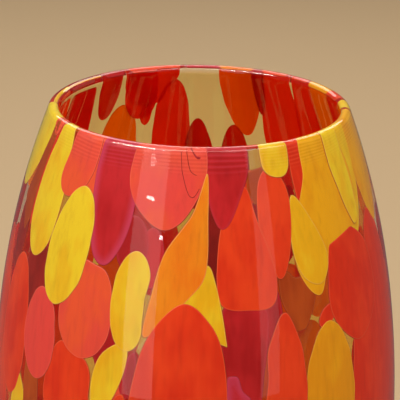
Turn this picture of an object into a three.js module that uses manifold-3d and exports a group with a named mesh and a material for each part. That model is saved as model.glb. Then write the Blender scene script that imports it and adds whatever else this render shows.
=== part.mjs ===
// A hand blown art glass vase: a clear gather of glass with chips of coloured glass melted flush into its outside.
// Millimetres, +Z up. The origin is the centre of the foot and the front of the vase faces -Y.
import * as THREE from "three";
import { mergeVertices } from "three/addons/utils/BufferGeometryUtils.js";
import Module from "manifold-3d";

// The blown form
const HEIGHT = 250;
const BELLY_HEIGHT = 120;
const BELLY_RADIUS = 77;
const MOUTH_RADIUS = 55;
const FOOT_RADIUS = 50;
const SHOULDER_POWER = 2.3;
const LOWER_POWER = 2.4;
const HEEL_RADIUS = 8;

// The wall and what it holds
const WALL = 4.4;
const BASE_WALL = 14;
const FLOOR_FILLET = 24;
const LIP_HEIGHT = 3;
const CLEAR_FOOT_HEIGHT = 17;
const CHIP_WALL = 1.3;

// How finely the round stretches are cut into flat facets
const FACET_SAG = 0.22;
const CHIP_ROWS = 6;
const CHIP_COLUMN_DEG = 11;
const LIP_STEPS = 6;
const CURVE_STEPS = 4;

// A chip keeps this gap to its seat in the gather and to the chips beside it, and an upper chip cuts a lower one
const CHIP_GAP = 0.35;
const CUT_PAST = 1;
const MERGE_WITHIN = 1e-3;

// The chips' heights and lengths below are those on a vase of this height, and stretch with the glass
const PATTERN_HEIGHT = 250;

const GLASS = {
  clear: { color: 0xe8dcae, roughness: 0.03, opacity: 0.35 },
  yellow: { color: 0xe6bf2b, roughness: 0.08, opacity: 1 },
  golden: { color: 0xd99512, roughness: 0.08, opacity: 1 },
  orange: { color: 0xe78422, roughness: 0.08, opacity: 1 },
  vermilion: { color: 0xd9431f, roughness: 0.08, opacity: 1 },
  salmon: { color: 0xdd5942, roughness: 0.08, opacity: 1 },
  ruby: { color: 0xb32030, roughness: 0.08, opacity: 1 },
};

// Chips laid by hand, the upper ones first. Turn is in degrees round the axis from the front, towards +X.
// [colour, turn, height, sweep in degrees, length, lean in degrees from bottom to top, bottom tip, top tip]
// A tip is blunt at 0.35, round at 0.5 and pointed at 1.
const SHOULDER_CHIPS = [
  ["yellow", -42.5, 211.5, 15.6, 43, 5, 0.5, 0.5],
  ["salmon", -44.2, 243, 12.8, 30, 6, 0.35, 0.5],
  ["yellow", -58.7, 226.5, 17.5, 46, 1, 0.5, 0.5],
  ["yellow", -77, 235, 21, 36, 10, 0.5, 0.5],
  ["vermilion", -5.3, 165, 26.5, 68, 0, 0.5, 0.5],
  ["orange", -5.4, 213, 13.4, 56, 15, 0.6, 0.95],
  ["salmon", -9.6, 238, 24, 40, 0, 0.5, 0.4],
  ["ruby", -29.4, 231, 15.2, 50, 1, 0.35, 0.45],
  ["yellow", 4, 192, 15, 33, -8, 0.7, 0.6],
  ["yellow", -18.8, 197.5, 11.6, 35, 1.5, 0.5, 0.5],
  ["ruby", 9.3, 240, 14.2, 34, 3, 0.9, 0.4],
  ["yellow", 28.3, 248, 12, 18, 0, 0.5, 0.4],
  ["vermilion", 13.7, 215.5, 16.3, 45, 1, 0.4, 0.8],
  ["vermilion", 25.6, 222.5, 13.5, 43, -3, 0.5, 0.5],
  ["yellow", 38, 217.5, 13.5, 36, 0, 0.5, 0.5],
  ["vermilion", 54, 190, 20, 52, -10, 0.6, 0.6],
  ["golden", 46.5, 230, 18, 48, 4, 0.5, 0.35],
  ["yellow", 60.5, 231, 11, 44, 8, 0.5, 0.4],
  ["golden", 76, 234, 20, 44, 2, 0.8, 0.4],
  ["vermilion", 71, 182, 18, 74, -3, 0.5, 0.5],
  ["ruby", 88, 184, 15, 60, 0, 0.5, 0.5],
  ["ruby", 14.2, 170, 13, 56, 0, 0.5, 0.35],
  ["vermilion", 25, 166, 14.5, 56, 2, 0.5, 0.8],
  ["golden", 41, 160, 18, 54, 0, 0.5, 0.55],
  ["salmon", -33.6, 192.5, 18.3, 37, 0, 0.5, 0.5],
  ["salmon", -50, 177.5, 13.3, 34, 0, 0.5, 0.5],
  ["yellow", -25, 168, 10, 30, 5, 0.5, 0.5],
  ["vermilion", -37.3, 158, 17, 44, 0, 0.5, 0.5],
  ["vermilion", -64, 175, 15, 54, 0, 0.5, 0.5],
  ["vermilion", -80, 178, 14, 58, 0, 0.5, 0.5],
  ["vermilion", -107, 234, 15, 46, 0, 0.5, 0.5],
  ["ruby", -124.5, 231, 18, 52, 0, 0.5, 0.5],
  ["golden", -149, 215, 14.5, 40, 0, 0.5, 0.5],
  ["vermilion", -169.5, 222, 12.8, 46, 0, 0.5, 0.5],
  ["vermilion", -160, 246, 22, 24, 0, 0.5, 0.5],
  ["ruby", 180.5, 206, 11, 42, 0, 0.5, 0.7],
  ["orange", 163.7, 239, 14, 38, 3, 0.7, 0.4],
  ["vermilion", 147, 227, 15.5, 58, 0, 0.5, 0.5],
  ["vermilion", 133.2, 229, 11.5, 54, 0, 0.5, 0.5],
];

// Rows of large chips round the lower body and across the back: [height, length, sweep, first turn, step, count]
const BODY_ROWS = [
  [172, 54, 19, 106, 30, 6],
  [98, 54, 20, -154, 51.4, 7],
  [44, 48, 22, -129, 51.4, 7],
];
const ROW_COLOURS = ["vermilion", "yellow", "ruby", "vermilion", "orange", "golden", "salmon"];
const ROW_LEANS = [4, -3, 0, 6, -5];

const wasm = await Module();
wasm.setup();

// The outside of the vase at height z: fullest at the belly, drawn in to the mouth and to the foot.
function outerRadius(z) {
  const up = Math.max(0, (z - BELLY_HEIGHT) / (HEIGHT - BELLY_HEIGHT));
  const down = Math.max(0, (BELLY_HEIGHT - z) / BELLY_HEIGHT);
  const drawnToMouth = (BELLY_RADIUS - MOUTH_RADIUS) * up ** SHOULDER_POWER;
  const drawnToFoot = (BELLY_RADIUS - FOOT_RADIUS) * down ** LOWER_POWER;
  return BELLY_RADIUS - drawnToMouth - drawnToFoot;
}

// Lathe facets and height steps are as many as keep each flat within FACET_SAG of the true curve.
const SEGMENTS = Math.ceil(Math.PI / Math.acos(1 - FACET_SAG / BELLY_RADIUS));
const SHOULDER_CURVE =
  ((BELLY_RADIUS - MOUTH_RADIUS) * SHOULDER_POWER * (SHOULDER_POWER - 1)) / (HEIGHT - BELLY_HEIGHT) ** 2;
const WALL_STEP = Math.sqrt((8 * FACET_SAG) / SHOULDER_CURVE);

// Points at one depth under the outside, from one height to another.
function wallPoints(depth, fromZ, toZ) {
  const steps = Math.ceil(Math.abs(toZ - fromZ) / WALL_STEP);
  const points = [];
  for (let i = 0; i <= steps; i++) {
    const z = fromZ + ((toZ - fromZ) * i) / steps;
    points.push(new THREE.Vector2(outerRadius(z) - depth, z));
  }
  return points;
}

function glassMaterial(colour) {
  const { color, roughness, opacity } = GLASS[colour];
  return new THREE.MeshStandardMaterial({
    color,
    roughness,
    metalness: 0,
    opacity,
    transparent: opacity < 1,
  });
}

// A profile turned about the +Z axis, as a solid that can be cut.
function turnedSolid(profile) {
  const turned = new THREE.LatheGeometry(profile, SEGMENTS).rotateX(Math.PI / 2);
  turned.deleteAttribute("normal");
  turned.deleteAttribute("uv");
  const merged = mergeVertices(turned, MERGE_WITHIN);
  return new wasm.Manifold(
    new wasm.Mesh({
      numProp: 3,
      vertProperties: merged.attributes.position.array,
      triVerts: new Uint32Array(merged.index.array),
    }),
  );
}

// The gather: foot, heel, outside wall, rounded lip, inside wall and round inside floor.
function gatherProfile() {
  const heel = [];
  for (let i = 0; i < CURVE_STEPS; i++) {
    const a = (i / CURVE_STEPS) * (Math.PI / 2);
    const z = HEEL_RADIUS * (1 - Math.cos(a));
    heel.push(new THREE.Vector2(outerRadius(z) - HEEL_RADIUS * (1 - Math.sin(a)), z));
  }
  const lip = [];
  const halfWall = WALL / 2;
  const lipTop = HEIGHT - halfWall;
  const lipMiddle = outerRadius(lipTop) - halfWall;
  for (let i = 1; i < LIP_STEPS; i++) {
    const a = (i / LIP_STEPS) * Math.PI;
    lip.push(new THREE.Vector2(lipMiddle + halfWall * Math.cos(a), lipTop + halfWall * Math.sin(a)));
  }
  const floor = [];
  const filletTop = BASE_WALL + FLOOR_FILLET;
  for (let i = 1; i <= CURVE_STEPS; i++) {
    const a = (i / CURVE_STEPS) * (Math.PI / 2);
    const z = filletTop - FLOOR_FILLET * Math.sin(a);
    floor.push(new THREE.Vector2(outerRadius(z) - WALL - FLOOR_FILLET * (1 - Math.cos(a)), z));
  }
  return [
    new THREE.Vector2(0, 0),
    ...heel,
    ...wallPoints(0, HEEL_RADIUS, lipTop),
    ...lip,
    ...wallPoints(WALL, lipTop, filletTop),
    ...floor,
    new THREE.Vector2(0, BASE_WALL),
  ];
}

// The chips lie between these heights, and a chip that would reach past the lip or into the foot ends there.
const CHIPS_TOP = HEIGHT - LIP_HEIGHT;
const CHIPS_BOTTOM = CLEAR_FOOT_HEIGHT;

// Half the sweep of a chip at a share t of its length, as a part of its widest: 0 at both tips, 1 where widest.
function outlineShare(t, bottomTip, topTip) {
  const widest = bottomTip / (bottomTip + topTip);
  return (t / widest) ** bottomTip * ((1 - t) / (1 - widest)) ** topTip;
}

// One chip as a curved plate from a height above the outside to a depth under it, grown all round by a margin.
function chipArrays(chip, above, depth, margin) {
  const [, turn, height, sweep, length, lean, bottomTip, topTip] = chip;
  const stretch = HEIGHT / PATTERN_HEIGHT;
  const fullLength = length * stretch + 2 * margin;
  const bottom = height * stretch - fullLength / 2;
  const startShare = Math.max(0, (CHIPS_BOTTOM - margin - bottom) / fullLength);
  const endShare = Math.min(1, (CHIPS_TOP + margin - bottom) / fullLength);
  const columns = Math.max(2, Math.ceil(sweep / CHIP_COLUMN_DEG));
  const positions = [];
  const rows = [];
  for (let i = 0; i <= CHIP_ROWS; i++) {
    const eased = (1 - Math.cos((Math.PI * i) / CHIP_ROWS)) / 2;
    const t = startShare + (endShare - startShare) * eased;
    const z = bottom + fullLength * t;
    const radius = outerRadius(z);
    const marginDeg = THREE.MathUtils.radToDeg(margin / radius);
    const half = (sweep / 2 + marginDeg) * outlineShare(t, bottomTip, topTip);
    const middle = turn + lean * (t - 0.5);
    const isTip = half < 1e-6;
    const row = [];
    for (let j = 0; j <= columns; j++) {
      if (isTip && j > 0) {
        row.push(row[0]);
        continue;
      }
      const side = isTip ? 0 : (2 * j) / columns - 1;
      const angle = THREE.MathUtils.degToRad(middle + side * half);
      const outer = positions.length / 3;
      for (const r of [radius + above, radius - depth]) {
        positions.push(r * Math.sin(angle), -r * Math.cos(angle), z);
      }
      row.push([outer, outer + 1]);
    }
    rows.push(row);
  }
  return { positions, triangles: plateTriangles(rows, columns) };
}

// Closes a grid of [outer, inner] vertex pairs into one plate, with the faces pointing out.
function plateTriangles(rows, columns) {
  const triangles = [];
  const face = (a, b, c) => {
    if (a !== b && b !== c && c !== a) triangles.push(a, b, c);
  };
  const quad = (a, b, c, d) => {
    face(a, b, c);
    face(a, c, d);
  };
  for (let i = 0; i < rows.length - 1; i++) {
    for (let j = 0; j < columns; j++) {
      const [low, lowNext] = [rows[i][j], rows[i][j + 1]];
      const [high, highNext] = [rows[i + 1][j], rows[i + 1][j + 1]];
      quad(low[0], lowNext[0], highNext[0], high[0]);
      quad(low[1], high[1], highNext[1], lowNext[1]);
    }
    quad(rows[i][0][0], rows[i + 1][0][0], rows[i + 1][0][1], rows[i][0][1]);
    const [low, high] = [rows[i][columns], rows[i + 1][columns]];
    quad(low[0], low[1], high[1], high[0]);
  }
  for (let j = 0; j < columns; j++) {
    const [first, next] = [rows[0][j], rows[0][j + 1]];
    quad(first[0], first[1], next[1], next[0]);
    const [last, lastNext] = [rows[rows.length - 1][j], rows[rows.length - 1][j + 1]];
    quad(last[0], lastNext[0], lastNext[1], last[1]);
  }
  return triangles;
}

function chipSolid(chip) {
  return plateSolid(chipArrays(chip, 0, CHIP_WALL, 0));
}

// The seat of a chip: the chip with its gap all round and past the outside, for cutting.
function seatSolid(chip) {
  return plateSolid(chipArrays(chip, CUT_PAST, CHIP_WALL + CHIP_GAP, CHIP_GAP));
}

function plateSolid({ positions, triangles }) {
  return new wasm.Manifold(
    new wasm.Mesh({
      numProp: 3,
      vertProperties: new Float32Array(positions),
      triVerts: new Uint32Array(triangles),
    }),
  );
}

// The smallest difference between two turns, in degrees.
function turnBetween(a, b) {
  const d = Math.abs(a - b) % 360;
  return Math.min(d, 360 - d);
}

function mayTouch(a, b) {
  const [, turnA, heightA, sweepA, lengthA, leanA] = a;
  const [, turnB, heightB, sweepB, lengthB, leanB] = b;
  const reach = (sweepA + sweepB + Math.abs(leanA) + Math.abs(leanB)) / 2 + 1;
  return turnBetween(turnA, turnB) < reach && Math.abs(heightA - heightB) < (lengthA + lengthB) / 2 + 1;
}

// A lower chip is cut back where an upper one lies over it, and keeps its largest piece.
function cutChip(chip, upperChips) {
  let solid = chipSolid(chip);
  for (const upper of upperChips.filter((other) => mayTouch(chip, other))) {
    solid = solid.subtract(seatSolid(upper));
  }
  return solid.decompose().sort((a, b) => b.volume() - a.volume())[0];
}

function geometryOf(solid) {
  const { vertProperties, triVerts } = solid.getMesh();
  const geometry = new THREE.BufferGeometry();
  geometry.setAttribute("position", new THREE.BufferAttribute(vertProperties, 3));
  geometry.setIndex(new THREE.BufferAttribute(triVerts, 1));
  geometry.computeVertexNormals();
  return geometry;
}

function rowChips() {
  const chips = [];
  for (const [height, length, sweep, firstTurn, step, count] of BODY_ROWS) {
    for (let i = 0; i < count; i++) {
      const colour = ROW_COLOURS[chips.length % ROW_COLOURS.length];
      const lean = ROW_LEANS[chips.length % ROW_LEANS.length];
      chips.push([colour, firstTurn + i * step, height, sweep, length, lean, 0.5, 0.55]);
    }
  }
  return chips;
}

// The gather, with a seat for each chip in its outside.
function seatedGather(chips) {
  let gather = turnedSolid(gatherProfile());
  for (const chip of chips) gather = gather.subtract(seatSolid(chip));
  return gather;
}

function namedMesh(name, solid, colour) {
  const mesh = new THREE.Mesh(geometryOf(solid), glassMaterial(colour));
  mesh.name = name;
  return mesh;
}

const vase = new THREE.Group();
const allChips = [...SHOULDER_CHIPS, ...rowChips()];
vase.add(namedMesh("clear_gather", seatedGather(allChips), "clear"));

const coloursUsed = {};
allChips.forEach((chip, index) => {
  const colour = chip[0];
  coloursUsed[colour] = (coloursUsed[colour] || 0) + 1;
  const number = String(coloursUsed[colour]).padStart(2, "0");
  vase.add(namedMesh(`chip_${colour}_${number}`, cutChip(chip, allChips.slice(0, index)), colour));
});

export default vase;
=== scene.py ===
# A hand blown art glass vase: a clear gather with chips of coloured glass melted into its outside. Metres,
# +Z up; the vase stands on the floor at z = 0 and its front faces -Y. Sizes named _MM are millimetres.
import math
import random

import bpy
import numpy as np
from mathutils import Matrix, Vector
from mathutils.geometry import delaunay_2d_cdt


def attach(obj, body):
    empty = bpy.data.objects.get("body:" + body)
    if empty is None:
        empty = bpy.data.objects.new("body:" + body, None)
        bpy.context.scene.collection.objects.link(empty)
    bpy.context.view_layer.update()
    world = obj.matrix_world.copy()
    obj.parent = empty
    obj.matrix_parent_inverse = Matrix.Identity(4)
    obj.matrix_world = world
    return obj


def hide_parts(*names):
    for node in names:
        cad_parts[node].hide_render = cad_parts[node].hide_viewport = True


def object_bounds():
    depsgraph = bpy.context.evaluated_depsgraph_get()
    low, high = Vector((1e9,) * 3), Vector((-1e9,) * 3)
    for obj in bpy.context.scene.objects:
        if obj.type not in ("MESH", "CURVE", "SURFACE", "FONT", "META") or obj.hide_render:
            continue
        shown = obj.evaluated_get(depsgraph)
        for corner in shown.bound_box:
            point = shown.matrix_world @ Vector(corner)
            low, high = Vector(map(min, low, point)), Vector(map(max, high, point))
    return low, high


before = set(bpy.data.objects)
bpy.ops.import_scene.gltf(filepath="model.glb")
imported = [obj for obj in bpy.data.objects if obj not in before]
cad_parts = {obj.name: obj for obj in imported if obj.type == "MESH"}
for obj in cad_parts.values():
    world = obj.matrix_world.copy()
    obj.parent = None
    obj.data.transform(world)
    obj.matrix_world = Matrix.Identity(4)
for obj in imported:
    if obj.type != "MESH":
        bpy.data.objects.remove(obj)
cad_low, cad_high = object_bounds()

MM = 0.001

# ---------------------------------------------------------------- camera
# A long lens close to the shoulder of the vase, looking down over the front of the lip into the mouth.
# It is held very slightly out of level.
CAMERA_DISTANCE = 0.8
CAMERA_DOWN_DEG = 18.9
CAMERA_ROLL_DEG = 1.0
AIM_RIGHT = 0.0008
AIM_HEIGHT = 0.85 * cad_high.z
CAMERA_LENS_MM = 193

camera_lens = bpy.data.cameras.new("camera")
camera_lens.sensor_width = 36
camera_lens.lens = CAMERA_LENS_MM
camera_lens.clip_start = 0.01
camera = bpy.data.objects.new("camera", camera_lens)
bpy.context.collection.objects.link(camera)
down = math.radians(CAMERA_DOWN_DEG)
eye = Vector((AIM_RIGHT, -CAMERA_DISTANCE * math.cos(down), AIM_HEIGHT + CAMERA_DISTANCE * math.sin(down)))
turned_down = Matrix.Rotation(math.pi / 2 - down, 4, "X") @ Matrix.Rotation(
    math.radians(CAMERA_ROLL_DEG), 4, "Z"
)
camera.matrix_world = Matrix.Translation(eye) @ turned_down
bpy.context.scene.camera = camera
bpy.context.scene.view_settings.view_transform = "Standard"


# ---------------------------------------------------------------- clear gather
# The body of the vase: straw-tinted clear glass, gathered on the pipe, blown and swung out to a barrel.
# The lip was cut, softened in the flame to a round bead and turned, which left faint rings under it.
# The thick foot is ground flat, with a shallow polished mark where the iron was broken off.
HEIGHT_MM = cad_high.z / MM
BELLY_RADIUS_MM = cad_high.x / MM
BELLY_HEIGHT_MM = 120
MOUTH_RADIUS_MM = 55
FOOT_RADIUS_MM = 50
SHOULDER_POWER = 2.3
LOWER_POWER = 2.4
HEEL_MM = 8
WALL_MM = 4.4
BASE_MM = 14
FLOOR_FILLET_MM = 24
BEAD_MM = 2.2
RING_FROM_MM = 241.5
RING_PITCH_MM = 1.15
RING_HIGH_MM = 0.02
PONTIL_MM = 15
TURN_SEGMENTS = 176
WAVER_OUTSIDE_MM = 0.10
WAVER_INSIDE_MM = 0.16
WALL_TINT = (0.89, 0.765, 0.375)


def outer_radius(z):
    """The outside of the blown form at height z, in millimetres."""
    up = max(0.0, (z - BELLY_HEIGHT_MM) / (HEIGHT_MM - BELLY_HEIGHT_MM))
    low = max(0.0, (BELLY_HEIGHT_MM - z) / BELLY_HEIGHT_MM)
    to_mouth = (BELLY_RADIUS_MM - MOUTH_RADIUS_MM) * up**SHOULDER_POWER
    to_foot = (BELLY_RADIUS_MM - FOOT_RADIUS_MM) * low**LOWER_POWER
    return BELLY_RADIUS_MM - to_mouth - to_foot


def outward_tilt(z):
    """How far the outside leans up from level there, in radians."""
    return math.atan((outer_radius(z - 0.5) - outer_radius(z + 0.5)))


# The bead is a half circle that runs on from the outside of the wall without a crease.
bead_height = HEIGHT_MM - BEAD_MM
bead_tilt = outward_tilt(bead_height)
bead_start = bead_height + BEAD_MM * math.sin(bead_tilt)
bead_radius = outer_radius(bead_start) - BEAD_MM * math.cos(bead_tilt)


def skin_at(s):
    """(radius, height, tilt) of the outside at s: a height on the wall, then a length on over the bead."""
    if s <= bead_start:
        return outer_radius(s), s, outward_tilt(s)
    tilt = bead_tilt + (s - bead_start) / BEAD_MM
    return bead_radius + BEAD_MM * math.cos(tilt), bead_height + BEAD_MM * math.sin(tilt), tilt


def gather_profile():
    """The half section from the foot's centre, round the outside and over the lip, to the floor's centre."""
    section = [(0, 1.0, 0), (6, 0.85, 0), (11, 0.5, 0), (PONTIL_MM, 0.0, 0), (28, 0, 0), (38, 0, 0)]
    for step in range(12):
        a = step / 12 * math.pi / 2
        z = HEEL_MM * (1 - math.cos(a))
        section.append((outer_radius(z) - HEEL_MM * (1 - math.sin(a)), z, 0))
    z = HEEL_MM
    while z < bead_start - 0.1:
        ring = RING_HIGH_MM * math.sin(2 * math.pi * (z - RING_FROM_MM) / RING_PITCH_MM)
        ring *= max(0.0, min(1.0, (z - RING_FROM_MM) / 2, (bead_start - z) / 1.2))
        section.append((outer_radius(z) + ring, z, 0))
        z += 0.2 if z > RING_FROM_MM - 0.5 else 2.2
    for step in range(25):
        turn = step / 24
        radius, height, _ = skin_at(bead_start + BEAD_MM * math.pi * turn)
        section.append((radius, height, max(0.0, 2 * turn - 1)))
    z = bead_start - 2.0
    while z > BASE_MM + FLOOR_FILLET_MM + 1:
        tilt = outward_tilt(z)
        section.append((outer_radius(z) - WALL_MM * math.cos(tilt), z - WALL_MM * math.sin(tilt), 1))
        z -= 2.4
    for step in range(15):
        a = step / 14 * math.pi / 2
        z = BASE_MM + FLOOR_FILLET_MM * (1 - math.sin(a))
        section.append((outer_radius(z) - WALL_MM - FLOOR_FILLET_MM * (1 - math.cos(a)), z, 1))
    section += [(18, BASE_MM, 1), (9, BASE_MM + 0.3, 1), (0, BASE_MM + 0.4, 1)]
    return section


def add(tree, kind, inputs=None, **settings):
    """A new node with its inputs linked or set, and its settings."""
    made = tree.nodes.new(kind)
    for key, value in settings.items():
        setattr(made, key, value)
    for socket, value in (inputs or {}).items():
        if isinstance(value, bpy.types.NodeSocket):
            tree.links.new(value, made.inputs[socket])
        else:
            made.inputs[socket].default_value = value
    return made


def sum_of(tree, operation, *values, clamp=False):
    """The output of a Math node."""
    return add(
        tree, "ShaderNodeMath", dict(enumerate(values)), operation=operation, use_clamp=clamp
    ).outputs[0]


def vector_of(tree, operation, *values):
    """The output of a Vector Math node whose answer is a vector. SCALE takes a vector and a number."""
    inputs = {0: values[0], 3: values[1]} if operation == "SCALE" else dict(enumerate(values))
    return add(tree, "ShaderNodeVectorMath", inputs, operation=operation).outputs[0]


def ranged(tree, value, low, high, to_low=0.0, to_high=1.0, curve="LINEAR"):
    """A value carried from one range over to another."""
    inputs = {"Value": value, "From Min": low, "From Max": high, "To Min": to_low, "To Max": to_high}
    return add(tree, "ShaderNodeMapRange", inputs, interpolation_type=curve).outputs[0]


def clad(tree, shape, glass):
    """The shape as one smooth mesh in this glass."""
    smooth = add(tree, "GeometryNodeSetShadeSmooth", {"Geometry": shape}).outputs[0]
    real = add(tree, "GeometryNodeRealizeInstances", {"Geometry": smooth}).outputs[0]
    return add(tree, "GeometryNodeSetMaterial", {"Geometry": real, "Material": glass}).outputs[0]


def new_tree(name, kind, inputs, outputs):
    """A node group with named inputs [name, socket type, value] and outputs, and its two end nodes."""
    tree = bpy.data.node_groups.new(name, kind)
    for label, socket_type, value in inputs:
        socket = tree.interface.new_socket(label, in_out="INPUT", socket_type=socket_type)
        if value is not None:
            socket.default_value = value
    for label, socket_type in outputs:
        tree.interface.new_socket(label, in_out="OUTPUT", socket_type=socket_type)
    return tree, tree.nodes.new("NodeGroupInput").outputs, tree.nodes.new("NodeGroupOutput")


def group(tree, inner, inputs):
    """A node group placed in a tree."""
    kind = "GeometryNodeGroup" if tree.bl_idname == "GeometryNodeTree" else "ShaderNodeGroup"
    return add(tree, kind, inputs, node_tree=inner)


def settle(piece, tree, values):
    """Runs a geometry tree on a piece with these values, and leaves the plain mesh that it gives."""
    blower = piece.modifiers.new(tree.name, "NODES")
    blower.node_group = tree
    for item in tree.interface.items_tree:
        if item.item_type == "SOCKET" and item.in_out == "INPUT" and item.name in values:
            blower[item.identifier] = values[item.name]
    result = bpy.data.meshes.new_from_object(piece.evaluated_get(bpy.context.evaluated_depsgraph_get()))
    piece.modifiers.clear()
    piece.data = result
    return piece


# The slow unevenness of glass shaped by hand, as a height over the surface. The chips ride on it too.
tree, given, out = new_tree(
    "hand_waver",
    "GeometryNodeTree",
    [
        ("Position", "NodeSocketVector", None),
        ("Amount", "NodeSocketFloat", 0.0001),
        ("Seed", "NodeSocketFloat", 3.0),
    ],
    [("Height", "NodeSocketFloat")],
)
swell = add(
    tree,
    "ShaderNodeTexNoise",
    {"Vector": given["Position"], "W": given["Seed"], "Scale": 22.0, "Detail": 0.6, "Roughness": 0.4},
    noise_dimensions="4D",
).outputs[0]
level = sum_of(tree, "MULTIPLY", sum_of(tree, "SUBTRACT", swell, 0.5), 2.0)
tree.links.new(sum_of(tree, "MULTIPLY", level, given["Amount"]), out.inputs["Height"])
hand_waver = tree

# The half section turned about the axis into the closed wall.
tree, given, out = new_tree(
    "turned_wall",
    "GeometryNodeTree",
    [
        ("Section", "NodeSocketGeometry", None),
        ("Segments", "NodeSocketInt", 96),
        ("Waver outside", "NodeSocketFloat", 0.0001),
        ("Waver inside", "NodeSocketFloat", 0.0003),
        ("Glass", "NodeSocketMaterial", None),
    ],
    [("Wall", "NodeSocketGeometry")],
)
count = add(tree, "GeometryNodeAttributeDomainSize", {"Geometry": given["Section"]}).outputs["Point Count"]
columns = sum_of(tree, "ADD", given["Segments"], 1.0)
flat_grid = add(
    tree,
    "GeometryNodeMeshGrid",
    {"Size X": 1.0, "Size Y": 1.0, "Vertices X": columns, "Vertices Y": count},
).outputs["Mesh"]
place = add(tree, "ShaderNodeSeparateXYZ", {0: add(tree, "GeometryNodeInputPosition").outputs[0]}).outputs
angle = sum_of(tree, "MULTIPLY", sum_of(tree, "ADD", place["X"], 0.5), 2 * math.pi)
last = sum_of(tree, "SUBTRACT", count, 1.0)
index = sum_of(tree, "ROUND", sum_of(tree, "MULTIPLY", sum_of(tree, "ADD", place["Y"], 0.5), last))
sampled = []
for value_type, value in (
    ("FLOAT_VECTOR", add(tree, "GeometryNodeInputPosition")),
    ("FLOAT", add(tree, "GeometryNodeInputNamedAttribute", {"Name": "inside"})),
):
    inputs = {"Geometry": given["Section"], "Value": value.outputs[0], "Index": index}
    found = add(tree, "GeometryNodeSampleIndex", inputs, data_type=value_type, domain="POINT")
    sampled.append(found.outputs["Value"])
corner, side = sampled
marked = add(
    tree,
    "GeometryNodeStoreNamedAttribute",
    {"Geometry": flat_grid, "Name": "inside", "Value": side},
    data_type="FLOAT",
    domain="POINT",
).outputs[0]
reach = add(tree, "ShaderNodeSeparateXYZ", {0: corner}).outputs
on_wall = add(
    tree,
    "ShaderNodeCombineXYZ",
    {
        "X": sum_of(tree, "MULTIPLY", reach["X"], sum_of(tree, "SINE", angle)),
        "Y": sum_of(
            tree, "MULTIPLY", reach["X"], sum_of(tree, "MULTIPLY", -1.0, sum_of(tree, "COSINE", angle))
        ),
        "Z": reach["Z"],
    },
).outputs[0]
turned = add(tree, "GeometryNodeSetPosition", {"Geometry": marked, "Position": on_wall}).outputs[0]
closed = add(tree, "GeometryNodeMergeByDistance", {"Geometry": turned, "Distance": 1e-6}).outputs[0]
spot = add(tree, "GeometryNodeInputPosition").outputs[0]
is_inside = add(tree, "GeometryNodeInputNamedAttribute", {"Name": "inside"}).outputs[0]
rise_outside = group(
    tree, hand_waver, {"Position": spot, "Amount": given["Waver outside"], "Seed": 3.0}
).outputs[0]
rise_inside = group(
    tree, hand_waver, {"Position": spot, "Amount": given["Waver inside"], "Seed": 9.0}
).outputs[0]
rise = sum_of(
    tree,
    "ADD",
    sum_of(tree, "MULTIPLY", rise_outside, sum_of(tree, "SUBTRACT", 1.0, is_inside)),
    sum_of(tree, "MULTIPLY", rise_inside, is_inside),
)
# The foot is ground flat, so the waver fades out to nothing there.
above_foot = ranged(tree, add(tree, "ShaderNodeSeparateXYZ", {0: spot}).outputs["Z"], 0.004, 0.03)
normal = add(tree, "GeometryNodeInputNormal").outputs[0]
wavered = add(
    tree,
    "GeometryNodeSetPosition",
    {
        "Geometry": closed,
        "Offset": vector_of(tree, "SCALE", normal, sum_of(tree, "MULTIPLY", rise, above_foot)),
    },
).outputs[0]
tree.links.new(clad(tree, wavered, given["Glass"]), out.inputs["Wall"])
turned_wall = tree

# Where the glass is looked at closely its polish differs a little: fine marks in the gloss, and hair-thin
# cords that were drawn out along the vase.
tree, given, out = new_tree(
    "drawn_cords",
    "ShaderNodeTree",
    [
        ("Fineness", "NodeSocketFloat", 300.0),
        ("Stretch", "NodeSocketFloat", 0.08),
        ("Seed", "NodeSocketFloat", 1.0),
    ],
    [("Cords", "NodeSocketFloat")],
)
where = add(tree, "ShaderNodeTexCoord").outputs["Object"]
flat = add(tree, "ShaderNodeCombineXYZ", {"X": 1.0, "Y": 1.0, "Z": given["Stretch"]}).outputs[0]
drawn = vector_of(tree, "MULTIPLY", where, flat)
cords = add(
    tree,
    "ShaderNodeTexNoise",
    {"Vector": drawn, "W": given["Seed"], "Scale": given["Fineness"], "Detail": 2.0, "Roughness": 0.55},
    noise_dimensions="4D",
).outputs[0]
tree.links.new(cords, out.inputs["Cords"])
drawn_cords = tree


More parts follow.
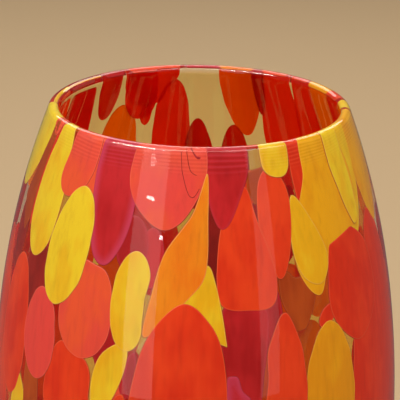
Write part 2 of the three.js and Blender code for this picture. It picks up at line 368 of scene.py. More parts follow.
def straw_glass():
    """Clear glass. Its straw tint lies on the inside face, so chips under the outside keep their colour."""
    glass = bpy.data.materials.new("straw_glass")
    glass.use_nodes = True
    tree = glass.node_tree
    tree.nodes.clear()
    inside = add(tree, "ShaderNodeAttribute", attribute_name="inside").outputs["Fac"]
    tints = []
    for power in (2, 1):
        tint = [part**power for part in WALL_TINT]
        mixed = add(
            tree, "ShaderNodeMix", {"Factor": inside, 6: (1, 1, 1, 1), 7: (*tint, 1)}, data_type="RGBA"
        )
        tints.append(mixed.outputs[2])
    marks = group(tree, drawn_cords, {"Fineness": 90.0, "Stretch": 0.5, "Seed": 4.0}).outputs[0]
    polish = ranged(tree, marks, 0.3, 0.8, 0.005, 0.025)
    cord = group(tree, drawn_cords, {"Fineness": 160.0, "Stretch": 0.12, "Seed": 8.0}).outputs[0]
    relief = add(tree, "ShaderNodeBump", {"Height": cord, "Strength": 0.02, "Distance": 0.0004}).outputs[0]
    body = add(
        tree,
        "ShaderNodeBsdfPrincipled",
        {
            "Base Color": tints[0],
            "Roughness": polish,
            "Normal": relief,
            "IOR": 1.5,
            "Transmission Weight": 1.0,
        },
    )
    let_through = add(tree, "ShaderNodeBsdfTransparent", {"Color": tints[1]})
    path = add(tree, "ShaderNodeLightPath").outputs
    seen = add(
        tree,
        "ShaderNodeMixShader",
        {0: path["Is Diffuse Ray"], 1: body.outputs[0], 2: let_through.outputs[0]},
    )
    lit = add(
        tree, "ShaderNodeMixShader", {0: path["Is Shadow Ray"], 1: seen.outputs[0], 2: let_through.outputs[0]}
    )
    add(tree, "ShaderNodeOutputMaterial", {"Surface": lit.outputs[0]})
    return glass


section = gather_profile()
section_mesh = bpy.data.meshes.new("clear_gather_wall")
section_mesh.from_pydata([(r * MM, 0, z * MM) for r, z, _ in section], [], [])
section_mesh.attributes.new("inside", "FLOAT", "POINT").data.foreach_set("value", [s for _, _, s in section])
gather = bpy.data.objects.new("clear_gather_wall", section_mesh)
bpy.context.collection.objects.link(gather)
settle(
    gather,
    turned_wall,
    {
        "Segments": TURN_SEGMENTS,
        "Waver outside": WAVER_OUTSIDE_MM * MM,
        "Waver inside": WAVER_INSIDE_MM * MM,
        "Glass": straw_glass(),
    },
)
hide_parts("clear_gather")
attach(gather, "root")


# ---------------------------------------------------------------- coloured chips
# Chips broken from sheets of coloured glass: opaque yellow, golden, orange, salmon and vermilion, and a
# ruby that lets more light through. They were picked up hot on the gather, and melted in and drawn out as
# it was blown. Each is a thin plate with a melted round edge, just under the skin of the vase.
CHIP_MM = 0.9
MELTED_EDGE_MM = 0.45
SKIN_MM = 0.16
LAYER_MM = 0.07
MOST_LAYERS = 9
GROWN_MM = 0.85
LIP_FROM_MM = 243.0
LIP_CUT_MM = 247.0
OVER_BEAD_DEG = 118
OVER_LAYER = -0.8
# How far in from a chip's edge the painted shade of its dark hair line reaches.
EDGE_SHADE_MM = 0.24
# Rows of points inside a chip's edge: how far in each lies, and the least distance of its points from the
# edge.
EDGE_ROWS_MM = [(0.16, 0.14), (0.36, 0.32), (0.62, 0.56), (1.0, 0.92), (1.5, 1.4)]
GRID_CLEAR_MM = 2.1

# [bright face, deep face, seen with light behind it, melted border]
CHIP_COLOURS = {
    "yellow": [(0.94, 0.70, 0.020), (0.92, 0.50, 0.006), (0.86, 0.17, 0.000), (0.95, 0.60, 0.12)],
    "golden": [(0.95, 0.47, 0.004), (0.87, 0.36, 0.002), (0.86, 0.11, 0.000), (0.93, 0.50, 0.06)],
    "orange": [(0.96, 0.30, 0.008), (0.92, 0.20, 0.004), (0.84, 0.06, 0.000), (0.96, 0.42, 0.12)],
    "vermilion": [(0.90, 0.062, 0.008), (0.78, 0.032, 0.004), (0.80, 0.014, 0.002), (0.93, 0.15, 0.05)],
    "salmon": [(0.90, 0.105, 0.032), (0.86, 0.070, 0.054), (0.84, 0.020, 0.004), (0.92, 0.17, 0.11)],
    "ruby": [(0.60, 0.016, 0.020), (0.42, 0.006, 0.008), (0.56, 0.005, 0.002), (0.60, 0.040, 0.070)],
    "crimson_ruby": [(0.60, 0.016, 0.022), (0.50, 0.008, 0.012), (0.56, 0.005, 0.002), (0.62, 0.050, 0.115)],
    "deep_orange": [(0.52, 0.085, 0.006), (0.40, 0.050, 0.002), (0.60, 0.040, 0.000), (0.52, 0.110, 0.02)],
    "dark_ruby": [(0.36, 0.014, 0.008), (0.20, 0.005, 0.002), (0.34, 0.004, 0.001), (0.40, 0.04, 0.03)],
}
# [width in mm, the share of it at full strength, strength]
BORDERS = {"crimson_ruby": (3.4, 0.1, 0.9), "ruby": (1.4, 0.2, 0.4)}
PLAIN_BORDER = (0.55, 0.72, 0.5)
# [pitch in mm, strength] of the rings under the lip
RINGS = {"ruby": (1.7, 0.4), "yellow": (1.0, 0.12), "golden": (1.0, 0.25)}
PLAIN_RINGS = (1.2, 0.25)

# A flat sheet of chip, as outlines on the skin of the vase, thickened into a plate with a round edge.
tree, given, out = new_tree(
    "melted_plate",
    "GeometryNodeTree",
    [
        ("Sheet", "NodeSocketGeometry", None),
        ("Thickness", "NodeSocketFloat", 0.0009),
        ("Round edge", "NodeSocketFloat", 0.45),
        ("Waver", "NodeSocketFloat", 0.0001),
        ("Glass", "NodeSocketMaterial", None),
    ],
    [("Plate", "NodeSocketGeometry")],
)
edge = add(tree, "GeometryNodeInputNamedAttribute", {"Name": "edge_mm"}).outputs[0]
deep = add(tree, "GeometryNodeInputNamedAttribute", {"Name": "deep_mm"}).outputs[0]
outward = add(
    tree, "GeometryNodeInputNamedAttribute", {"Name": "outward"}, data_type="FLOAT_VECTOR"
).outputs[0]
from_edge = sum_of(tree, "SUBTRACT", 1.0, sum_of(tree, "DIVIDE", edge, given["Round edge"], clamp=True))
fullness = sum_of(
    tree,
    "SQRT",
    sum_of(tree, "SUBTRACT", 1.0, sum_of(tree, "MULTIPLY", from_edge, from_edge), clamp=True),
)
middle = sum_of(
    tree,
    "ADD",
    sum_of(tree, "MULTIPLY", deep, MM),
    sum_of(tree, "MULTIPLY", given["Thickness"], 0.35),
)
spot = add(tree, "GeometryNodeInputPosition").outputs[0]
waver = group(tree, hand_waver, {"Position": spot, "Amount": given["Waver"], "Seed": 3.0}).outputs[0]
faces = []
for is_inner, share in ((0.0, 0.35), (1.0, -0.65)):
    bulge = sum_of(tree, "MULTIPLY", sum_of(tree, "MULTIPLY", given["Thickness"], share), fullness)
    height = sum_of(tree, "ADD", sum_of(tree, "SUBTRACT", bulge, middle), waver)
    moved = add(
        tree,
        "GeometryNodeSetPosition",
        {"Geometry": given["Sheet"], "Offset": vector_of(tree, "SCALE", outward, height)},
    ).outputs[0]
    if is_inner:
        moved = add(tree, "GeometryNodeFlipFaces", {"Mesh": moved}).outputs[0]
    marked = add(
        tree,
        "GeometryNodeStoreNamedAttribute",
        {"Geometry": moved, "Name": "inner_side", "Value": is_inner},
        data_type="FLOAT",
        domain="POINT",
    ).outputs[0]
    faces.append(marked)
joined = tree.nodes.new("GeometryNodeJoinGeometry")
for face in faces:
    tree.links.new(face, joined.inputs[0])
closed = add(
    tree, "GeometryNodeMergeByDistance", {"Geometry": joined.outputs[0], "Distance": 1e-7}
).outputs[0]
tree.links.new(clad(tree, closed, given["Glass"]), out.inputs["Plate"])
melted_plate = tree

# The fine rings that the turned lip drew into the chips below it.
tree, given, out = new_tree(
    "lip_rings",
    "ShaderNodeTree",
    [("From height", "NodeSocketFloat", 0.2405), ("Pitch", "NodeSocketFloat", 0.00105)],
    [("Rings", "NodeSocketFloat")],
)
where = add(tree, "ShaderNodeTexCoord").outputs["Object"]
height = add(tree, "ShaderNodeSeparateXYZ", {0: where}).outputs["Z"]
drift = add(tree, "ShaderNodeTexNoise", {"Vector": where, "Scale": 30.0, "Detail": 1.0}).outputs[0]
turns = sum_of(
    tree, "ADD", sum_of(tree, "DIVIDE", height, given["Pitch"]), sum_of(tree, "MULTIPLY", drift, 3.0)
)
wave = sum_of(tree, "SINE", sum_of(tree, "MULTIPLY", turns, 2 * math.pi))
fade = ranged(tree, height, given["From height"], sum_of(tree, "ADD", given["From height"], 0.003))
tree.links.new(sum_of(tree, "MULTIPLY", wave, fade), out.inputs["Rings"])
lip_rings = tree

# The border of a melted chip: a light line just inside its edge, and a dark hair line of painted shade at the
# edge itself.
tree, given, out = new_tree(
    "chip_border",
    "ShaderNodeTree",
    [("Edge", "NodeSocketFloat", 1.0), ("Width", "NodeSocketFloat", 0.5), ("Core", "NodeSocketFloat", 0.72)],
    [("Light", "NodeSocketFloat"), ("Dark", "NodeSocketFloat")],
)
core = sum_of(tree, "MULTIPLY", given["Width"], given["Core"])
inside_of = ranged(tree, given["Edge"], given["Width"], core, curve="SMOOTHSTEP")
# Painted shade: a dark hair line right at the chip's edge.
painted_edge_shade = ranged(tree, given["Edge"], EDGE_SHADE_MM, EDGE_SHADE_MM / 2, curve="SMOOTHSTEP")
tree.links.new(inside_of, out.inputs["Light"])
tree.links.new(painted_edge_shade, out.inputs["Dark"])
chip_border = tree


def chip_glass(colour):
    """Coloured chip glass: bright from outside, deep and clear from inside with the light behind it."""
    bright, deep, through, border = CHIP_COLOURS[colour]
    glass = bpy.data.materials.new(colour + "_glass")
    glass.use_nodes = True
    tree = glass.node_tree
    tree.nodes.clear()

    def attribute(name):
        return add(tree, "ShaderNodeAttribute", attribute_name=name).outputs["Fac"]

    def blend(factor, *ends):
        first, second = (end if isinstance(end, bpy.types.NodeSocket) else (*end, 1) for end in ends)
        return add(
            tree, "ShaderNodeMix", {"Factor": factor, 6: first, 7: second}, data_type="RGBA"
        ).outputs[2]

    blotch = group(tree, drawn_cords, {"Fineness": 95.0, "Stretch": 0.5, "Seed": 2.0}).outputs[0]
    streak = group(tree, drawn_cords, {"Fineness": 520.0, "Stretch": 0.05, "Seed": 5.0}).outputs[0]
    pitch, ring_strength = RINGS.get(colour, PLAIN_RINGS)
    rings = group(tree, lip_rings, {"Pitch": pitch * MM}).outputs[0]
    shade = sum_of(tree, "ADD", ranged(tree, blotch, 0.38, 0.62, 0.0, 1.0), attribute("tone"), clamp=True)
    face = blend(shade, bright, deep)
    face = blend(ranged(tree, streak, 0.52, 0.75, 0.0, 0.35), face, tuple(part * 0.72 for part in deep))
    face = blend(
        ranged(tree, streak, 0.46, 0.25, 0.0, 0.25),
        face,
        tuple(min(1.0, part * 1.12 + 0.01) for part in bright),
    )
    face = blend(ranged(tree, rings, 0.0, 1.0, 0.0, ring_strength), face, border)
    face = blend(
        ranged(tree, rings, 0.0, -1.0, 0.0, ring_strength), face, tuple(part * 0.65 for part in deep)
    )
    width, core, strength = BORDERS.get(colour, PLAIN_BORDER)
    lines = group(tree, chip_border, {"Edge": attribute("edge_mm"), "Width": width, "Core": core}).outputs
    face = blend(sum_of(tree, "MULTIPLY", lines["Light"], strength), face, border)
    # Painted shade: the dark hair line along the chip's edge, blended into its colour.
    face = blend(sum_of(tree, "MULTIPLY", lines["Dark"], 0.75), face, (0.22, 0.02, 0.004))
    lit_from_behind = blend(
        ranged(tree, blotch, 0.35, 0.65, 0.0, 1.0), through, tuple(part * 0.86 for part in through)
    )
    soft = ranged(tree, streak, 0.3, 0.7, 0.30, 0.42)
    relief = add(tree, "ShaderNodeBump", {"Height": streak, "Strength": 0.12, "Distance": 0.0002}).outputs[0]
    skin = add(
        tree,
        "ShaderNodeBsdfPrincipled",
        {"Base Color": face, "Roughness": soft, "Normal": relief, "Specular IOR Level": 0.1},
    )
    glow = add(tree, "ShaderNodeBsdfTranslucent", {"Color": lit_from_behind})
    glow_share = ranged(tree, attribute("inner_side"), 0.3, 0.7, 0.10, 0.92)
    body = add(tree, "ShaderNodeMixShader", {0: glow_share, 1: skin.outputs[0], 2: glow.outputs[0]})
    away = add(tree, "ShaderNodeBsdfTransparent")
    facing = add(tree, "ShaderNodeNewGeometry").outputs["Backfacing"]
    whole = add(tree, "ShaderNodeMixShader", {0: facing, 1: body.outputs[0], 2: away.outputs[0]})
    add(tree, "ShaderNodeOutputMaterial", {"Surface": whole.outputs[0]})
    return glass


chip_glasses = {colour: chip_glass(colour) for colour in CHIP_COLOURS}


def evenly(outline, spacing):
    """The closed outline [(across, along)] again, with its points evenly spaced."""
    loop = np.vstack([outline, outline[:1]])
    lengths = np.hypot(*np.diff(loop, axis=0).T)
    along = np.concatenate([[0], np.cumsum(lengths)])
    wanted = max(18, int(along[-1] / spacing))
    marks = np.linspace(0, along[-1], wanted, endpoint=False)
    return np.stack([np.interp(marks, along, loop[:, axis]) for axis in (0, 1)], axis=1)


def melted(outline, spacing, passes):
    """The outline with its corners melted round."""
    loop = evenly(outline, spacing)
    for _ in range(passes):
        loop = 0.5 * loop + 0.25 * (np.roll(loop, 1, axis=0) + np.roll(loop, -1, axis=0))
    return loop


def hand_cut(loop, seed, by_mm):
    """The outline with the slow in and out of a chip broken by hand."""
    chance = random.Random(seed)
    around = np.linspace(0, 2 * np.pi, len(loop), endpoint=False)
    wander = sum(
        chance.uniform(0.3, 1.0) / waves * np.sin(
            waves * around + chance.uniform(0, 2 * np.pi)
        ) for waves in (3, 4, 5, 7)
    )
    return grown(loop, by_mm * wander[:, None])


def grown(loop, by):
    """The outline moved outwards by a distance. Its points run anticlockwise."""
    ahead = np.roll(loop, -1, axis=0) - np.roll(loop, 1, axis=0)
    ahead /= np.maximum(np.hypot(*ahead.T), 1e-9)[:, None]
    return loop + by * np.stack([ahead[:, 1], -ahead[:, 0]], axis=1)


def edge_distance(points, loop):
    """How far each point is from the outline."""
    start, step = loop, np.roll(loop, -1, axis=0) - loop
    away = points[:, None, :] - start[None]
    share = np.clip((away * step).sum(2) / np.maximum((step**2).sum(1), 1e-12), 0, 1)
    return np.sqrt(((away - share[..., None] * step) ** 2).sum(2)).min(1)


def is_within(points, loop):
    """Whether each point lies in the outline."""
    x, y = points[:, :1], points[:, 1:]
    a, b = loop[None, :, :], np.roll(loop, -1, axis=0)[None, :, :]
    crosses = (a[..., 1] > y) != (b[..., 1] > y)
    rise = np.where(b[..., 1] == a[..., 1], 1e-12, b[..., 1] - a[..., 1])
    left_of = x < (b[..., 0] - a[..., 0]) * (y - a[..., 1]) / rise + a[..., 0]
    return (crosses & left_of).sum(1) % 2 == 1


def chip_sheet(loop, turn, deep_mm, tone):
    """One chip's sheet on the skin: its points, triangles and what is stored at its points.
    The outline is in millimetres, across from its middle turn and along as skin_at counts."""
    loop = evenly(loop, 0.9)
    middle_radius = skin_at(min(float(loop[:, 1].mean()), bead_start))[0]
    inner = [(grown(loop, -inset), least) for inset, least in EDGE_ROWS_MM]
    (left, low), (right, high) = loop.min(0), loop.max(0)
    rows = np.arange(low, high, 1.9)
    grid = np.array(
        [(x + (0.95 if k % 2 else 0), y) for k, y in enumerate(rows) for x in np.arange(left, right, 2.2)]
    )
    extra = []
    for points, least in [*inner, (grid.reshape(-1, 2), GRID_CLEAR_MM)]:
        points = points[is_within(points, loop)]
        if len(points):
            extra.append(points[edge_distance(points, loop) > least])
    flat_points = np.vstack([loop, *extra])
    ring = [(k, (k + 1) % len(loop)) for k in range(len(loop))]
    made = delaunay_2d_cdt([Vector(p) for p in flat_points], ring, [], 1, 1e-5)
    flat_points = np.array([tuple(p) for p in made[0]])
    spots, outwards = [], []
    for across, along in flat_points:
        radius, height, tilt = skin_at(along)
        angle = math.radians(turn) + across / middle_radius
        spots.append((radius * math.sin(angle) * MM, -radius * math.cos(angle) * MM, height * MM))
        outwards.append((math.cos(tilt) * math.sin(angle), -math.cos(tilt) * math.cos(angle), math.sin(tilt)))
    return {
        "spots": spots,
        "outwards": outwards,
        "triangles": [tuple(face) for face in made[2]],
        "edges": list(edge_distance(flat_points, loop)),
        "deep": [deep_mm] * len(spots),
        "tone": [tone] * len(spots),
    }


def chip_piece(name, colour, sheets):
    """One piece made of these sheets, all of one colour of glass."""
    spots, triangles, stored = [], [], {"outwards": [], "edges": [], "deep": [], "tone": []}
    for sheet in sheets:
        base = len(spots)
        spots += sheet["spots"]
        triangles += [tuple(base + corner for corner in face) for face in sheet["triangles"]]
        for key in stored:
            stored[key] += sheet[key]
    mesh = bpy.data.meshes.new(name)
    mesh.from_pydata(spots, [], triangles)
    for attribute, key in (("edge_mm", "edges"), ("deep_mm", "deep"), ("tone", "tone")):
        mesh.attributes.new(attribute, "FLOAT", "POINT").data.foreach_set("value", stored[key])
    facing = np.array(stored["outwards"]).ravel()
    mesh.attributes.new("outward", "FLOAT_VECTOR", "POINT").data.foreach_set("vector", facing)
    piece = bpy.data.objects.new(name, mesh)
    bpy.context.collection.objects.link(piece)
    settle(
        piece,
        melted_plate,
        {
            "Thickness": CHIP_MM * MM,
            "Round edge": MELTED_EDGE_MM,
            "Waver": WAVER_OUTSIDE_MM * MM,
            "Glass": chip_glasses[colour],
        },
    )
    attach(piece, "root")
    return piece


# Where chips lie already, as a map of turns and heights, with how many layers deep each place is.
MAP_STEP_DEG = 1.0
laid = np.zeros((int(360 / MAP_STEP_DEG), int(HEIGHT_MM) + 8), int)


def cells_of(loop, turn):
    """The cells of the map that a chip covers."""
    radius = skin_at(min(float(loop[:, 1].mean()), bead_start))[0]
    low, high = loop.min(0), loop.max(0)
    half = max(abs(low[0]), abs(high[0])) / radius
    turns = np.arange(int(math.degrees(-half)) - 2, int(math.degrees(half)) + 3)
    heights = np.arange(max(0, int(low[1]) - 1), min(laid.shape[1], int(high[1]) + 2))
    first = round(turn)
    grid = np.array([(math.radians(first + t - turn) * radius, h) for t in turns for h in heights], float)
    inside = is_within(grid, loop)
    names = np.array([((first + t) % 360, h) for t in turns for h in heights], int)
    return tuple(names[inside].T)


def next_layer(cells):
    """The first layer that is free for a chip here, and marks it as laid."""
    layer = min(MOST_LAYERS, int(laid[cells].max()) if len(cells[0]) else 0)
    laid[cells] = layer + 1
    return layer


def over_the_bead(loop):
    """A chip that reaches the lip runs on over the bead."""
    top = bead_start + BEAD_MM * math.radians(OVER_BEAD_DEG)
    stretch = (top - LIP_FROM_MM) / (LIP_CUT_MM - LIP_FROM_MM)
    loop = loop.copy()
    above = loop[:, 1] > LIP_FROM_MM
    loop[above, 1] = LIP_FROM_MM + (loop[above, 1] - LIP_FROM_MM) * stretch
    return loop


# The large chips each have their own place in the model. Their colours, in the order they lie from the top
# down:
LAY_ORDER = """yellow salmon yellow yellow vermilion orange salmon ruby yellow yellow ruby yellow vermilion
vermilion yellow vermilion golden yellow golden vermilion ruby ruby vermilion golden salmon salmon yellow
vermilion vermilion vermilion vermilion ruby golden vermilion vermilion ruby orange vermilion vermilion
vermilion yellow ruby vermilion orange golden salmon vermilion yellow ruby vermilion orange golden salmon
vermilion yellow ruby vermilion orange golden""".split()
# How deep in tone some of them are, 0 bright and 1 deep; the others come out in between.
CHIP_TONES = {
    "chip_yellow_01": -0.35,
    "chip_yellow_02": -0.2,
    "chip_yellow_03": -0.5,
    "chip_yellow_05": 0.1,
    "chip_golden_01": -0.35,
    "chip_yellow_07": 0.75,
    "chip_yellow_08": 0.1,
    "chip_golden_02": -0.1,
    "chip_golden_03": 0.35,
    "chip_vermilion_02": -0.2,
    "chip_vermilion_03": -0.5,
    "chip_vermilion_04": 0.45,
    "chip_vermilion_05": 0.5,
    "chip_salmon_01": -0.4,
    "chip_salmon_02": 0.3,
    "chip_salmon_03": -0.3,
    "chip_salmon_04": 1.0,
    "chip_ruby_02": -0.3,
}


# The shape of those that flowed into something other than a leaf: a smooth curve through [turn, height].
CHIP_OUTLINES = {
    "chip_vermilion_01": [(-4, 198.5), (-12.5, 188), (-17, 171), (-17.5, 146), (-4, 132), (8, 150), (8, 180),
        (3, 193.5)],
    "chip_orange_01": [(3.3, 243), (-1.5, 229), (-9.5, 216), (-13, 201), (-14.5, 185), (-2, 200), (3, 209),
        (3.6, 226)],
    "chip_yellow_04": [(2.8, 212), (-3, 202), (-8, 196), (-4, 188), (7.4, 184), (9, 182.3), (8.7, 185.5),
        (7.6, 195), (5.4, 207)],
    "chip_vermilion_04": [(55.5, 216.4), (45.2, 213.4), (43.8, 211.8), (42, 200), (43, 187), (54, 175.5),
        (65, 188), (64, 208), (57, 216)],
    "chip_yellow_09": [(-19.3, 183), (-26.5, 178), (-29.5, 166), (-28, 152), (-24, 158), (-19.5, 172)],
    "chip_vermilion_02": [(15.5, 238), (8.5, 229), (6, 213), (7, 198), (15, 195.5), (23, 196.6), (24, 209),
        (19, 227)],
    "chip_vermilion_03": [(25.5, 243), (20, 237), (20, 218), (25.5, 204.5), (30, 216), (31.2, 234)],
    "chip_golden_01": [
        (40, 247), (38.3, 238), (31, 218), (33, 203.5), (39.5, 196.5), (45, 210), (59, 217), (63.5, 232),
        (58, 247),
    ],
    "chip_yellow_07": [(32, 233), (30, 217), (33, 204.5), (40, 200.5), (43.5, 210), (38.5, 224)],
    "chip_ruby_01": [(-21, 247), (-35.5, 247), (-36, 228), (-33, 211.5), (-27.5, 208.5), (-22, 220),
        (-20.2, 235)],
    "chip_yellow_02": [(-52.5, 246), (-59.5, 246.5), (-63.5, 236), (-64.3, 215), (-59, 203), (-51.5, 210),
        (-49, 232)],
    "chip_yellow_03": [(-66.5, 247), (-88, 247), (-91, 232), (-81, 221), (-71.5, 231)],
    "chip_salmon_02": [(2.2, 247), (-21, 247), (-21.8, 233), (-11, 222.5), (-2, 230)],
    "chip_ruby_04": [(20.5, 196), (8, 197.5), (7.4, 175), (9, 146), (16, 145), (19.3, 172)],
    "chip_yellow_06": [(33, 247), (22.5, 247), (24, 240.5), (31, 239.3)],
}
# The wide soft borders of the crimson one came from a second gather of ruby.
OTHER_GLASS = {"chip_ruby_01": "crimson_ruby"}
# These stop short of the lip.
UNDER_THE_LIP = ("chip_vermilion_10", "chip_ruby_05")


def flowed(corners):
    """The smooth closed curve through these corners."""
    loop = np.array(corners, float)
    for _ in range(4):
        after = np.roll(loop, -1, axis=0)
        between = (9 * (loop + after) - np.roll(loop, 1, axis=0) - np.roll(loop, -2, axis=0)) / 16
        loop = np.stack([loop, between], axis=1).reshape(-1, 2)
    return loop


def drawn_outline(corners):
    """Corners [turn, height] as an outline [(across, height)] in millimetres, and their middle turn."""
    turns, heights = np.array(corners, float).T
    middle = (turns.min() + turns.max()) / 2
    radius = outer_radius(min(heights.mean(), HEIGHT_MM))
    return np.stack([np.radians(turns - middle) * radius, heights], axis=1), middle


def node_outline(node):
    """A chip solid's outline as [(across, height)] in millimetres about its middle turn, and that turn."""
    mesh = node.data
    spots = np.array([v.co for v in mesh.vertices]) / MM
    turns = np.arctan2(spots[:, 0], -spots[:, 1])
    middle = math.atan2(np.sin(turns).mean(), np.cos(turns).mean())
    turns = (turns - middle + math.pi) % (2 * math.pi) - math.pi
    corners = np.array([tuple(face.vertices) for face in mesh.polygons])
    low, high = spots[:, 2].min(), spots[:, 2].max()
    radius = outer_radius((low + high) / 2)
    left, right = [], []
    for height in np.linspace(low + 0.15, high - 0.15, 40):
        crossings = []
        for a, b in ((0, 1), (1, 2), (2, 0)):
            za, zb = spots[corners[:, a], 2], spots[corners[:, b], 2]
            hit = (za > height) != (zb > height)
            share = (height - za[hit]) / (zb[hit] - za[hit])
            crossings.append(turns[corners[hit, a]] * (1 - share) + turns[corners[hit, b]] * share)
        crossings = np.concatenate(crossings)
        left.append((crossings.min() * radius, height))
        right.append((crossings.max() * radius, height))
    return np.array(right + left[::-1]), math.degrees(middle)


used = {}
for colour in LAY_ORDER:
    used[colour] = used.get(colour, 0) + 1
    number = "%02d" % used[colour]
    node_name = "chip_" + colour + "_" + number
    if node_name in CHIP_OUTLINES:
        outline, turn = drawn_outline(flowed(CHIP_OUTLINES[node_name]))
        loop = melted(outline, 0.8, 3)
    else:
        outline, turn = node_outline(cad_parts[node_name])
        loop = grown(hand_cut(melted(outline, 0.9, 6), node_name, 0.45), GROWN_MM)
    reaches_lip = outline[:, 1].max() > LIP_CUT_MM - 1 and node_name not in UNDER_THE_LIP
    if node_name in UNDER_THE_LIP:
        loop[:, 1] = np.minimum(loop[:, 1], LIP_FROM_MM + 3.2)
    if reaches_lip:
        loop[:, 1] = np.minimum(loop[:, 1], LIP_CUT_MM)
        loop = over_the_bead(loop)
    layer = next_layer(cells_of(loop, turn))
    tone = CHIP_TONES.get(node_name, 0.0)
    sheet = chip_sheet(loop, turn, SKIN_MM + LAYER_MM * layer, tone)
    piece = chip_piece(colour + "_chip_" + number, OTHER_GLASS.get(node_name, colour), [sheet])
    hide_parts(node_name)


# ---------------------------------------------------------------- small chips of the lip and shoulder
# Smaller chips between the large ones: slivers at the lip, pieces that show down the far wall through the
# mouth, and the ends of chips that lie mostly under others. The same sheets of coloured glass.
# [colour, turn, height, sweep, length, lean, bottom tip, top tip, tone]
SMALL_CHIPS = [
    ["vermilion", 36.8, 240, 7.5, 36, 2, 0.8, 0.3, 1.0],
    ["dark_ruby", -56, 195, 12, 36, 2, 0.5, 0.5, -0.5],
    ["ruby", -25, 180, 9, 24, 0, 0.5, 0.5, 0.2],
    ["ruby", -20, 217, 11, 20, 0, 0.5, 0.5, 0.8],
    ["ruby", -13.5, 213, 8, 22, 0, 0.5, 0.5, -0.4],
    ["ruby", -18.7, 169, 5, 14, 0, 0.5, 0.5, 0.0],
    ["dark_ruby", 4, 216, 8, 34, 2, 0.5, 0.5, 0.6],
    ["ruby", 21, 193, 9, 26, 0, 0.5, 0.5, 0.5],
    ["dark_ruby", -70, 208, 8, 30, 0, 0.5, 0.5, -0.4],
    ["salmon", -38, 240, 7, 24, 0, 0.5, 0.4, -0.3],
    ["vermilion", -63, 231, 6, 40, 2, 0.5, 0.5, 1.0],
    ["vermilion", 18, 237, 7, 12, 0, 0.5, 0.5, 1.0],
    ["vermilion", 41, 189, 7, 9, 4, 0.5, 0.5, 0.4],
    ["ruby", -90, 214, 15, 42, 0, 0.5, 0.5, 0.0],
    ["yellow", -58, 145, 10, 30, 0, 0.5, 0.9, 0.0],
    ["salmon", -22, 154, 8, 28, 0, 0.5, 0.5, 0.0],
    ["salmon", -62, 249, 8, 9, 3, 0.5, 0.4, -0.2],
    ["ruby", -141, 242, 10.5, 26, 0, 0.5, 0.3, 0.0],
    ["vermilion", -156, 240, 14, 25, 2, 0.35, 0.3, 0.0],
    ["vermilion", -159.2, 229.5, 5, 12, 0, 0.7, 0.5, 0.0],
    ["ruby", 167, 204, 11, 42, 0, 0.5, 0.5, 0.0],
    ["ruby", 155.5, 243, 6, 28, 0, 0.7, 0.3, 0.2],
    ["golden", 120, 233, 16, 46, 0, 0.5, 0.3, 0.3],
    ["vermilion", 108, 230, 14, 50, 0, 0.5, 0.3, 0.0],
    ["yellow", 94, 228, 13, 46, 0, 0.5, 0.3, 0.0],
    ["golden", 147, 149, 17, 33, 0, 0.5, 0.4, 0.5],
]


def leaf_loop(sweep, length, height, lean, bottom_tip, top_tip):
    """The outline of a chip drawn out like a leaf: blunt, round or pointed at each end."""
    radius = outer_radius(height)
    widest = bottom_tip / (bottom_tip + top_tip)
    half_sweep = math.radians(sweep) / 2 * radius
    right, left = [], []
    for step in range(41):
        t = (1 - math.cos(math.pi * step / 40)) / 2
        share = (t / widest) ** bottom_tip * ((1 - t) / (1 - widest)) ** top_tip
        middle = math.radians(lean * (t - 0.5)) * radius
        along = height + length * (t - 0.5)
        right.append((middle + half_sweep * share, along))
        left.append((middle - half_sweep * share, along))
    return melted(np.array(right + left[::-1]), 0.9, 6)


# Broken shards with corners, and the fine dark folds in the salmon chip at the lip.
# [colour, tone, whether it lies over the others, its corners as turn, height]
SHARDS = [
    ["deep_orange", 0.1, 0, [(24.5, 207), (28, 208), (30, 204.5), (34.5, 205.5), (38, 200), (36, 193),
        (33, 186), (29.5, 185.5), (27.5, 191), (25, 198)]],
    ["deep_orange", 0.3, 1, [(-63, 246), (-66.3, 247), (-68.5, 240), (-71.5, 229), (-74, 221), (-68, 208),
        (-65.5, 214), (-65.2, 228)]],
    ["salmon", -0.5, 1, [(-60.5, 247.5), (-67.5, 247.5), (-68, 245.2), (-64.5, 243), (-61, 244.6)]],
    ["deep_orange", 0.0, 0, [(-49, 174), (-54.5, 174), (-55.5, 158), (-55, 140), (-48, 138), (-48.5, 158)]],
    ["deep_orange", 0.6, 0, [(23.5, 243.5), (16.5, 242), (16.2, 236), (19, 230), (22.5, 236)]],
    ["vermilion", 0.9, 0, [(24, 246.9), (16, 246.9), (16, 246.0), (24, 246.0)]],
    ["ruby", 0.3, 0, [(186, 246.9), (171, 246.9), (171, 245.6), (186, 245.6)]],
    ["golden", 0.6, 0, [(-112, 246.9), (-134, 246.9), (-134, 246.5), (-112, 246.4)]],
    ["yellow", 0.6, 0, [(-89, 246.9), (-112, 246.9), (-112, 246.2), (-89, 246.2)]],
    ["vermilion", -0.2, 1, [(-19.5, 165), (-22, 163.5), (-23.8, 156), (-24.5, 144), (-19, 142), (-17, 152)]],
    ["crimson_ruby", 0.0, 1, [(8.6, 173), (8.8, 150), (13, 150), (12.6, 160), (16, 164), (13, 167),
        (12, 173)]],
    ["yellow", -0.3, 1, [(60.5, 246.8), (51, 246.8), (51.5, 238), (55, 224), (58.5, 215.5), (62, 218),
        (62.3, 230)]],
    ["ruby", 0.4, 0, [(-16.5, 181), (-19, 178), (-20, 170), (-18.5, 162), (-15, 165)]],
    ["vermilion", 0.5, 0, [(80, 196), (58, 190), (51, 178), (49.5, 160), (51, 140), (57, 120), (74, 108),
        (86, 118), (88, 160)]],
    ["golden", 0.3, 0, [(104, 200), (94, 196), (88, 176), (90, 148), (95, 134), (104, 140), (107, 160),
        (108, 184)]],
    ["vermilion", 0.1, 0, [(-74, 198), (-88, 196), (-92, 170), (-90, 138), (-82, 112), (-70, 116),
        (-66, 140), (-68, 172)]],
    ["orange", 0.5, 0, [(-94, 206), (-106, 200), (-109, 172), (-106, 142), (-96, 132), (-91, 150),
        (-90, 180)]],
]
THREAD_MM = 0.36
